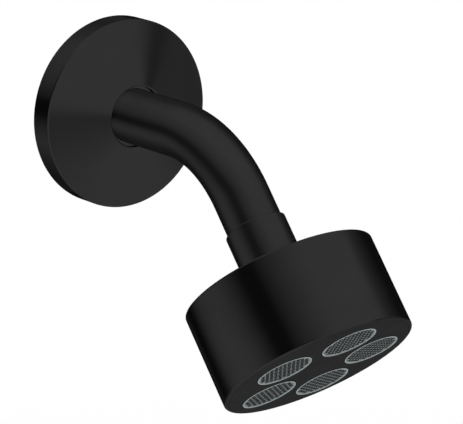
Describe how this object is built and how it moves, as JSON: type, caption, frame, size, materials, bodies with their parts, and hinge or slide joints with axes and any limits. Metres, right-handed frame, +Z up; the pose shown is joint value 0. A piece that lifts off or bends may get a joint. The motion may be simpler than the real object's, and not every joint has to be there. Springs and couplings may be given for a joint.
{
  "type": "shower head with wall arm",
  "caption": "Matt black round shower head with perforated spray discs, on a ball joint at the end of a bent wall arm with a conical sliding escutcheon.",
  "frame": {"origin": "on the axis of the arm's wall thread, in the plane of the finished wall", "axes": "+Y into the wall along the thread, -Y out into the room, +Z up; the arm bends down in the plane X = 0"},
  "size_m": [0.075, 0.1718, 0.1343],
  "materials": {
    "black_coat": "satin",
    "grey_insert": "satin",
    "black_rubber": "matte",
    "white_plastic": "satin",
    "grey_plastic": "satin",
    "steel": "satin"
  },
  "bodies": {
    "arm": {"arm_tube": "black_coat", "swivel_nut": "black_coat", "inlet_washer": "black_rubber", "strainer_screen": "steel", "flow_limiter": "white_plastic"},
    "escutcheon": {"escutcheon": "black_coat", "escutcheon_o_ring": "black_rubber"},
    "ball": {"ball_stud": "black_coat"},
    "seat": {"ball_seat": "white_plastic"},
    "head": {"head_shell": "black_coat", "retaining_ring": "black_coat", "ball_seal": "black_rubber", "chamber_seal": "black_rubber", "distributor": "grey_plastic", "insert_gasket": "black_rubber", "spray_face": "black_coat", "spray_insert_1": "grey_insert", "spray_insert_2": "grey_insert", "spray_insert_3": "grey_insert", "spray_insert_4": "grey_insert", "spray_insert_5": "grey_insert", "face_screws": "steel"}
  },
  "joints": [
    {"name": "escutcheon_slide", "type": "slide", "parent": "arm", "child": "escutcheon", "axis": [0, -1, 0], "range_m": [0, 0.025]},
    {"name": "head_swivel", "type": "hinge", "parent": "arm", "child": "ball", "pos_m": [0, -0.10934, -0.05017], "axis": [0, 0.6494, 0.7604], "continuous": true},
    {"name": "head_tilt", "type": "hinge", "parent": "ball", "child": "seat", "pos_m": [0, -0.10934, -0.05017], "axis": [1, 0, 0], "range_deg": [-12, 12]},
    {"name": "head_spin", "type": "hinge", "parent": "seat", "child": "head", "pos_m": [0, -0.10934, -0.05017], "axis": [0, 0.6494, 0.7604], "continuous": true}
  ]
}
